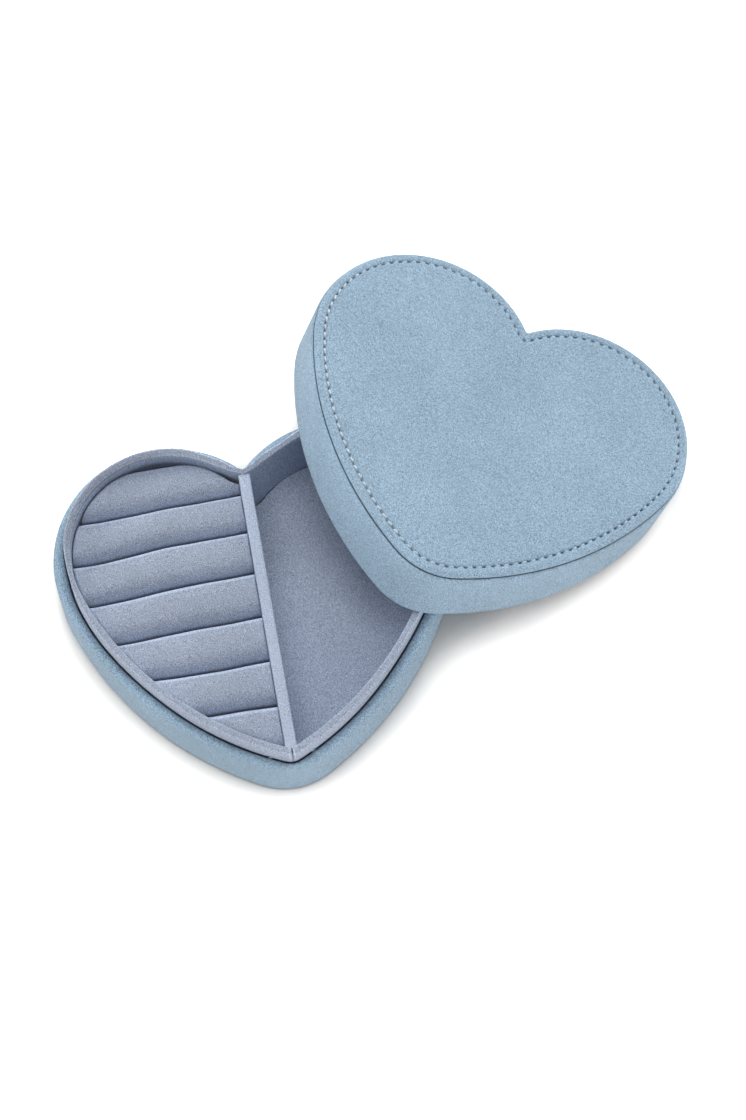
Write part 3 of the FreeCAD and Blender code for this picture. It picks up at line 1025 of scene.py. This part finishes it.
class HEARTBOX_OT_ring_rolls(bpy.types.Operator):
    """Foam ring rolls in lining cloth, drawn down into the grooves and at their ends"""
    bl_idname = "heartbox.ring_rolls"
    bl_label = "Ring rolls"

    def execute(self, context):
        heart = sizes()
        self.wall_inset = heart.collar_inset + heart.collar_width
        self.spans = roll_spans(self.wall_inset + heart.fitting_gap)
        for number in range(1, ROLL_COUNT + 1):
            self.make_roll(number)
        return {"FINISHED"}

    def make_roll(self, number):
        low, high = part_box(f"ring_roll_cover_{number}")
        self.middle, self.half = (low.y + high.y) / 2, (high.y - low.y) / 2
        deselect()
        bpy.ops.mesh.primitive_grid_add(x_subdivisions=ROLL_COLUMNS, y_subdivisions=ROLL_ROWS, size=1)
        piece = added(f"ring_roll_{number}")
        edit(piece)
        mesh = bmesh.from_edit_mesh(piece.data)
        tone = mesh.verts.layers.float.new("tone")
        for vert in mesh.verts:
            across, share = math.sin(vert.co.y * math.pi), vert.co.x + 0.5
            vert.co = self.roll_point(number, share, across)
            vert[tone] = self.roll_tone(number, share, across, vert.co)
        bmesh.update_edit_mesh(piece.data)
        bpy.ops.mesh.remove_doubles(threshold=NEAR / 10)
        select_open_edges()
        bpy.ops.mesh.extrude_edges_move()
        mesh = bmesh.from_edit_mesh(piece.data)
        for vert in mesh.verts:
            if vert.select:
                vert.co.z = ROLL_TOP - base_sizes().roll_depth
        bmesh.update_edit_mesh(piece.data)
        cap_loop()
        face_outwards()
        stands_for = [f"ring_roll_cover_{number}", f"ring_roll_core_{number}"]
        settle(piece, "base", lining_finish(), stands_for, angle=60)

    def roll_point(self, number, share, across):
        """Point of a roll's cloth: share along it from collar to divider, across it from front to back."""
        base = base_sizes()
        levels, lefts, rights = self.spans
        straight = self.middle + across * self.half
        along = 0.5 * share + 0.25 * (1 - math.cos(share * math.pi))
        y = straight
        for _ in range(SWAY_ROUNDS):
            left, right = np.interp(y, levels, lefts), np.interp(y, levels, rights)
            x = float(left + (right - left) * along)
            ahead, behind = groove_sway(number - 1, x), groove_sway(number - 2, x)
            y = straight + ahead + (behind - ahead) * (across + 1) / 2
        fall = min(1.0, abs(across))
        crown = base.roll_crown * (1 - (1 - fall ** base.roll_fullness) ** (1 / base.roll_fullness))
        to_divider = -DIVIDER_HIGH.x - base.roll_gap - x
        wall_fall = self.end_fall(collar_room(x, y, self.wall_inset), base.roll_end_round, COLLAR_STEEPNESS)
        divider_fall = self.end_fall(to_divider, base.roll_end_round * DIVIDER_ROUND_SHARE, 1.0)
        return x, y, ROLL_TOP - math.sqrt(crown ** 2 + wall_fall ** 2 + divider_fall ** 2)

    def end_fall(self, room, radius, steep):
        """How far the cloth has turned down, that near to what it meets."""
        share = 1 - clamp(room / radius)
        return steep * radius * (1 - math.sqrt(1 - share ** 2))

    def roll_tone(self, number, share, across, place):
        """Painted light on a roll: its marks across, and its ends by the collar or the divider."""
        shade = rising_mark(FRONT_SHADE, -across) + rising_mark(GROOVE_SHADE, -across)
        end = 0.0
        if share < END_COLUMN:
            end = COLLAR_END_SHADE
        elif number == ROLL_COUNT:
            room = collar_room(place.x, place.y, self.wall_inset)
            end = LAST_ROLL_SHADE * max(0.0, 1 - room / LAST_ROLL_REACH) ** 2
        if share > 1 - END_COLUMN:
            end = max(end, GAPING_END_SHADE if number in GAPING_ROLLS else DIVIDER_END_SHADE)
        return rising_mark(BACK_HIGHLIGHT, across) - min(DARKEST_ROLL, max(shade, end))


# The lid's wall: its shoulder's painted highlight, and the share of the panel's inset where the suede goes in
# under the panel and takes painted shade.
SHOULDER_HIGHLIGHT = (0.4, -1.4, 0.7)
UNDER_PANEL = 0.75


class HEARTBOX_OT_lid_suede(bpy.types.Operator):
    """Suede over the lid's wall, from the hem to the seam under the panel"""
    bl_idname = "heartbox.lid_suede"
    bl_label = "Lid suede"

    def execute(self, context):
        heart, lid = sizes(), lid_sizes()
        stations = heart_stations()
        lining_face = lid.wall - heart.lining

        # Painted shade where the suede goes in under the panel, and a painted highlight on the shoulder.
        def under_panel(station, inset, height):
            if height > lid.seam_height / 2 and inset > lid.panel_inset * UNDER_PANEL:
                return 0.0, -DEEP
            return 0.0, line_mark(SHOULDER_HIGHLIGHT, height - lid.seam_height)

        profile = round_profile([
            (lining_face, 0, 0),
            (0, 0, lid.hem_round),
            (0, lid.seam_height, lid.shoulder_round),
            (lid.turn_over, lid.seam_height, 0),
        ])
        outline = wall_outline(stations, lining_face, 0, lid.seam_height / 2)
        piece = sweep("lid_suede", len(stations), outline, profile, under_panel)
        thicken(piece, heart.suede * LID_CLOTH)
        settle(piece, "lid", suede_finish(), ["lid_wall_cover"], lid_place())
        return {"FINISHED"}


POINTS_PER_STITCH = 12

# The stretch of the seam, as shares of the way round, where the thread lies proud and has less painted shade.
PROUD_FROM = 0.49
PROUD_TO = 0.83
PROUD_FADE = 0.05


def stitch_count():
    lid = lid_sizes()
    return round(sum(arc_lengths(outer_arcs(lid.stitch_inset))) / lid.stitch_pitch)


def thread_pride(share):
    """How proud the thread lies along the seam: full on the left side, drawn into the suede elsewhere."""
    # The less proud the thread, the more painted shade it and the holes between stitches are given.
    return clamp(min((share - PROUD_FROM) / PROUD_FADE, (PROUD_TO - share) / PROUD_FADE))


# The panel: its edge's painted highlight, the share of its undercut given painted shade, the band that its
# stitches draw in, and painted shade in the valley and the slanted holes, less where the thread lies proud.
PANEL_HIGHLIGHT = (0.35, 0.5, 0.6)
DARK_UNDERCUT = 0.7
STITCH_BAND = 2 * MM
VALLEY_WIDTH = 0.55 * MM
VALLEY_SHADE = 0.1
HOLE_WIDTH = 0.25 * MM
HOLE_LENGTH = 0.85 * MM
HOLE_SLANT = 0.2
HOLE_SHADE = 0.8
PROUD_HOLE_SHADE = 0.5

# Loops of the panel on both sides of the stitch line, in millimetres from it.
PANEL_LOOPS = (-1.3, -0.9, -0.6, -0.4, -0.2, 0, 0.2, 0.4, 0.6, 0.9, 1.3, 2.1, 3.2, 5.0, 9.0, 15.0)


class HEARTBOX_OT_lid_panel(bpy.types.Operator):
    """Padded suede panel on the lid, drawn in along its stitches"""
    bl_idname = "heartbox.lid_panel"
    bl_label = "Lid panel"

    def execute(self, context):
        lid = lid_sizes()
        bottom = lid.seam_height
        top = bottom + lid.panel_height
        stations = even_stations(outer_arcs(lid.stitch_inset), stitch_count() * POINTS_PER_STITCH)

        # Rise of the panel where its stitches draw it in, with its painted shade and highlight.
        def drawn_in_shading(station, inset, height):
            if height < bottom + lid.panel_undercut * DARK_UNDERCUT:
                return 0.0, -DEEP
            off_line = inset - lid.stitch_inset
            if abs(off_line) > STITCH_BAND:
                return 0.0, line_mark(PANEL_HIGHLIGHT, inset - lid.panel_inset)
            phase = station % POINTS_PER_STITCH / POINTS_PER_STITCH
            off_hole = (phase if phase < 0.5 else phase - 1) * lid.stitch_pitch
            valley = hump(off_line, VALLEY_WIDTH)
            slant = (off_line - HOLE_SLANT * off_hole) / HOLE_WIDTH
            hole = math.exp(-slant ** 2 - (off_hole / HOLE_LENGTH) ** 4)
            dark = HOLE_SHADE + (PROUD_HOLE_SHADE - HOLE_SHADE) * thread_pride(station / len(stations))
            rise = -lid.stitch_dip * valley - lid.needle_hole * hole
            return rise, -min(1.0, VALLEY_SHADE * valley + dark * hole)

        profile = round_profile([
            (lid.panel_inset + LAP, bottom, 0),
            (lid.panel_inset, bottom, lid.panel_undercut),
            (lid.panel_inset, top, lid.panel_round),
            (lid.stitch_inset, top, 0),
        ])[:-1]
        profile += [(lid.stitch_inset + step * MM, top) for step in PANEL_LOOPS]
        piece = sweep("lid_panel", len(stations), parallel_to(outer_arcs, stations), profile, drawn_in_shading)
        cap_both_ends()
        settle(piece, "lid", suede_finish(), ["lid_panel_cover", "lid_panel_padding"], lid_place())
        return {"FINISHED"}


# A stitch: how far its thread stands out of the valley, how far it sinks where it is drawn in, and its shape.
THREAD_RISE = 0.42
THREAD_SINK = 0.3 * MM
STITCH_REACH = 0.54
STITCH_FULLNESS = 0.8
STITCH_DIVE_POWER = 4


class HEARTBOX_OT_stitches(bpy.types.Operator):
    """Topstitching round the panel, one stitch modelled and copied along the line"""
    bl_idname = "heartbox.stitches"
    bl_label = "Topstitching"

    def execute(self, context):
        lid = lid_sizes()
        line = outer_arcs(lid.stitch_inset)
        ends = [Vector(end) for end in outline_points(line, even_stations(line, stitch_count()))]
        height = lid.seam_height + lid.panel_height - lid.stitch_dip + lid.thread * THREAD_RISE
        places = []
        for number, (start, end) in enumerate(zip(ends, ends[1:] + ends[:1])):
            along, middle = end - start, (start + end) / 2
            pride = thread_pride(number / len(ends))
            turn = Matrix.Rotation(math.atan2(along.y, along.x) + lid.stitch_slant, 4, "Z")
            spot = Matrix.Translation((middle.x, middle.y, height + THREAD_SINK * (pride - 1)))
            places.append((spot @ turn, pride))
        first = self.make_stitch()
        for place, pride in places[1:]:
            copy = bpy.data.objects.new("stitch", first.data.copy())
            self.lay(copy.data, place, pride)
            context.collection.objects.link(copy)
            copy.select_set(True)
        self.lay(first.data, *places[0])
        context.view_layer.objects.active = first
        bpy.ops.object.join()
        settle(first, "lid", thread_finish(), ["lid_panel_stitching"], lid_place(), angle=80)
        return {"FINISHED"}

    def lay(self, mesh, place, pride):
        """Put a stitch in its place, with the tone of a thread that lies as proud as that."""
        mesh.transform(place)
        # The tone gives painted shade to thread that is drawn in.
        tone = mesh.attributes.new("tone", "FLOAT", "POINT")
        tone.data.foreach_set("value", [pride] * len(mesh.vertices))

    def make_stitch(self):
        """One stitch along X, its ends going down into the needle holes."""
        lid = lid_sizes()
        deselect()
        bpy.ops.mesh.primitive_uv_sphere_add(segments=8, ring_count=7, radius=1, rotation=(0, math.pi / 2, 0))
        bpy.ops.object.transform_apply(location=True, rotation=True, scale=True)
        stitch = added("lid_stitches")
        for vert in stitch.data.vertices:
            x, y, z = vert.co
            full = math.copysign(abs(x) ** STITCH_FULLNESS, x)
            dive = lid.needle_hole * x ** STITCH_DIVE_POWER
            vert.co = (full * lid.stitch_length * STITCH_REACH, y * lid.thread / 2, z * lid.thread / 2 - dive)
        return stitch


# The lid's lining: roundings of its wall cloth and of its cushion's upper edge, and the cushion's last loop.
WALL_CLOTH_UPPER_ROUND = 0.1 * MM
WALL_CLOTH_LOWER_ROUND = 0.2 * MM
CUSHION_UPPER_ROUND = 0.3 * MM
CUSHION_LAP = 2 * MM


class HEARTBOX_OT_lid_lining(bpy.types.Operator):
    """Lining down the inside of the lid's wall, and the lined cushion inside its top"""
    bl_idname = "heartbox.lid_lining"
    bl_label = "Lid lining"

    def execute(self, context):
        heart, lid = sizes(), lid_sizes()
        stations = heart_stations()
        outline = parallel_to(collar_arcs, stations)
        outside, inside = lid.wall - heart.lining, lid.wall
        profile = round_profile([
            (outside, lid.ceiling, 0),
            (inside, lid.ceiling, WALL_CLOTH_UPPER_ROUND),
            (inside, lid.lining_hem, WALL_CLOTH_LOWER_ROUND),
            (outside, lid.lining_hem, 0),
        ])
        wall = sweep("lid_wall_cloth", len(stations), outline, profile)
        select_open_edges()
        bpy.ops.mesh.bridge_edge_loops()
        face_outwards()
        settle(wall, "lid", lining_finish(), ["lid_wall_lining"], lid_place())
        edge = lid.wall + heart.fitting_gap
        low = lid.ceiling - lid.cushion_height
        profile = round_profile([
            (edge + LAP, lid.ceiling, 0),
            (edge, lid.ceiling, CUSHION_UPPER_ROUND),
            (edge, low, lid.cushion_round),
            (edge + CUSHION_LAP, low, 0),
        ])
        cushion = sweep("lid_lining_cushion", len(stations), outline, profile)
        cap_both_ends()
        settle(cushion, "lid", lining_finish(), ["lid_lining_cover", "lid_lining_pad"], lid_place())
        return {"FINISHED"}


class HEARTBOX_OT_cores(bpy.types.Operator):
    """Board and foam finishes on the parts behind the cloth"""
    bl_idname = "heartbox.cores"
    bl_label = "Boards and foam"

    def execute(self, context):
        board, foam = board_finish(), foam_finish()
        for name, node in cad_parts.items():
            if not node.hide_render:
                node.data.materials.clear()
                node.data.materials.append(foam if name.endswith("pad") else board)
        return {"FINISHED"}


def seen_rays(tree):
    """1 for rays that show a thing itself, straight or through a reflection, 0 for rays that light others."""
    path = tree.nodes.new("ShaderNodeLightPath")
    straight = calculate(tree, "MAXIMUM", path.outputs["Is Camera Ray"], path.outputs["Is Glossy Ray"])
    return calculate(tree, "MAXIMUM", straight, path.outputs["Is Transmission Ray"])


# Soft lamps: azimuth and elevation in degrees, distance, width and height in metres, and watts.
LAMPS = {
    "top_lamp": (200, 84, 0.74, 0.45, 0.45, 2.3),
    "back_lamp": (90, 55, 1.2, 0.6, 0.6, 1.75),
    "back_left_lamp": (135, 25, 1.2, 0.5, 0.3, 3.7),
    "back_right_lamp": (45, 25, 1.2, 0.5, 0.3, 2.7),
    "left_lamp": (180, 25, 1.2, 0.5, 0.3, 0.7),
    "front_lamp": (315, 55, 1.2, 0.6, 0.6, 1.15),
    "low_back_lamp": (45, 3, 0.85, 0.9, 0.05, 2.8),
    "low_right_lamp": (315, 3, 0.85, 0.9, 0.05, 2.55),
    "low_left_lamp": (225, 3, 0.85, 0.9, 0.05, 2.15),
}
LAMPS_LOOK_AT = Vector((0.04, 0, 0))

# The camera, at the place that the photograph was taken from.
CAMERA_PLACE = Vector((-0.022178, -0.358649, 1.039354))
CAMERA_LOOKS_AT = Vector((0.040533, -0.003951, 0))
CAMERA_LENS = 100.07
CAMERA_SENSOR = 36

# The floor: its size, how far off things shade it, and how open it is where its shadow starts to pale and
# where it is white; then the light of the room.
FLOOR_SIZE = 8
SHADOW_REACH = 0.06
SHADOW_CORE = 0.49
SHADOW_EDGE = 0.77
ROOM_LIGHT = 0.03


class HEARTBOX_OT_stage(bpy.types.Operator):
    """Pale floor, soft light from all sides, and the camera"""
    bl_idname = "heartbox.stage"
    bl_label = "Stage"

    def execute(self, context):
        scene = context.scene
        scene.view_settings.view_transform = "Standard"
        self.make_floor()
        self.make_world(scene)
        for name, values in LAMPS.items():
            self.make_lamp(name, *values)
        facing = (CAMERA_LOOKS_AT - CAMERA_PLACE).to_track_quat("-Z", "Y").to_euler()
        bpy.ops.object.camera_add(location=CAMERA_PLACE, rotation=facing)
        camera = added("camera")
        camera.data.lens = CAMERA_LENS
        camera.data.sensor_width = CAMERA_SENSOR
        camera.data.clip_start = 10 * MM
        scene.camera = camera
        return {"FINISHED"}

    def make_lamp(self, name, azimuth, elevation, distance, width, height, watts):
        """A soft rectangular lamp that looks at the middle of the object from that side."""
        around, up = math.radians(azimuth), math.radians(elevation)
        away = Vector((math.cos(up) * math.cos(around), math.cos(up) * math.sin(around), math.sin(up)))
        facing = (-away).to_track_quat("-Z", "Y").to_euler()
        bpy.ops.object.light_add(type="AREA", location=LAMPS_LOOK_AT + away * distance, rotation=facing)
        lamp = added(name)
        lamp.data.shape = "RECTANGLE"
        lamp.data.size = width
        lamp.data.size_y = height
        lamp.data.energy = watts
        lamp.visible_camera = False

    def make_floor(self):
        deselect()
        bpy.ops.mesh.primitive_plane_add(size=FLOOR_SIZE)
        floor = added("floor")
        material, tree, shader, place = start_material("pale_floor")
        shader.inputs["Base Color"].default_value = (*finishes().floor, 1)
        shader.inputs["Roughness"].default_value = 1.0
        shader.inputs["Specular IOR Level"].default_value = 0.0
        near = add_node(tree, "ShaderNodeAmbientOcclusion", Distance=SHADOW_REACH)
        near.samples = 16
        openness = near.outputs["AO"]
        white = add_node(tree, "ShaderNodeMapRange", openness, From_Min=SHADOW_CORE, From_Max=SHADOW_EDGE)
        seen = calculate(tree, "MULTIPLY", seen_rays(tree), white.outputs[0])
        shader.inputs["Emission Color"].default_value = (1, 1, 1, 1)
        tree.links.new(seen, shader.inputs["Emission Strength"])
        floor.data.materials.append(material)

    def make_world(self, scene):
        world = bpy.data.worlds.new("studio")
        scene.world = world
        world.use_nodes = True
        tree = world.node_tree
        tree.nodes.clear()
        around = add_node(tree, "ShaderNodeBackground", grey(1.0), ROOM_LIGHT)
        behind = add_node(tree, "ShaderNodeBackground", grey(1.0), 1.0)
        shown = add_node(tree, "ShaderNodeMixShader", seen_rays(tree), around.outputs[0], behind.outputs[0])
        output = tree.nodes.new("ShaderNodeOutputWorld")
        tree.links.new(shown.outputs[0], output.inputs["Surface"])


STEPS = (
    HEARTBOX_OT_stage, HEARTBOX_OT_base_suede, HEARTBOX_OT_underside, HEARTBOX_OT_collar, HEARTBOX_OT_divider,
    HEARTBOX_OT_compartment_floor, HEARTBOX_OT_ring_rolls, HEARTBOX_OT_lid_suede, HEARTBOX_OT_lid_panel,
    HEARTBOX_OT_stitches, HEARTBOX_OT_lid_lining, HEARTBOX_OT_cores,
)


class HEARTBOX_PT_sidebar(bpy.types.Panel):
    """Steps and values of the heart jewellery box"""
    bl_idname = "HEARTBOX_PT_sidebar"
    bl_label = "Heart jewellery box"
    bl_space_type = "VIEW_3D"
    bl_region_type = "UI"
    bl_category = "Jewellery box"

    def draw(self, context):
        for step in STEPS:
            self.layout.operator(step.bl_idname)
        for group in (sizes(), base_sizes(), lid_sizes(), finishes()):
            column = self.layout.box().column()
            for key in group.__annotations__:
                column.prop(group, key)


GROUPS = {
    "heart_sizes": HeartSizes,
    "heart_base": BaseSizes,
    "heart_lid": LidSizes,
    "heart_finishes": Finishes,
}


def register():
    for name, group in GROUPS.items():
        bpy.utils.register_class(group)
        setattr(bpy.types.Scene, name, PointerProperty(type=group))
    for kind in (*STEPS, HEARTBOX_PT_sidebar):
        bpy.utils.register_class(kind)


def unregister():
    for kind in (HEARTBOX_PT_sidebar, *reversed(STEPS)):
        bpy.utils.unregister_class(kind)
    for name, group in reversed(GROUPS.items()):
        delattr(bpy.types.Scene, name)
        bpy.utils.unregister_class(group)


def main():
    register()
    for step in STEPS:
        family, name = step.bl_idname.split(".")
        getattr(getattr(bpy.ops, family), name)()


if __name__ == "__main__":
    main()
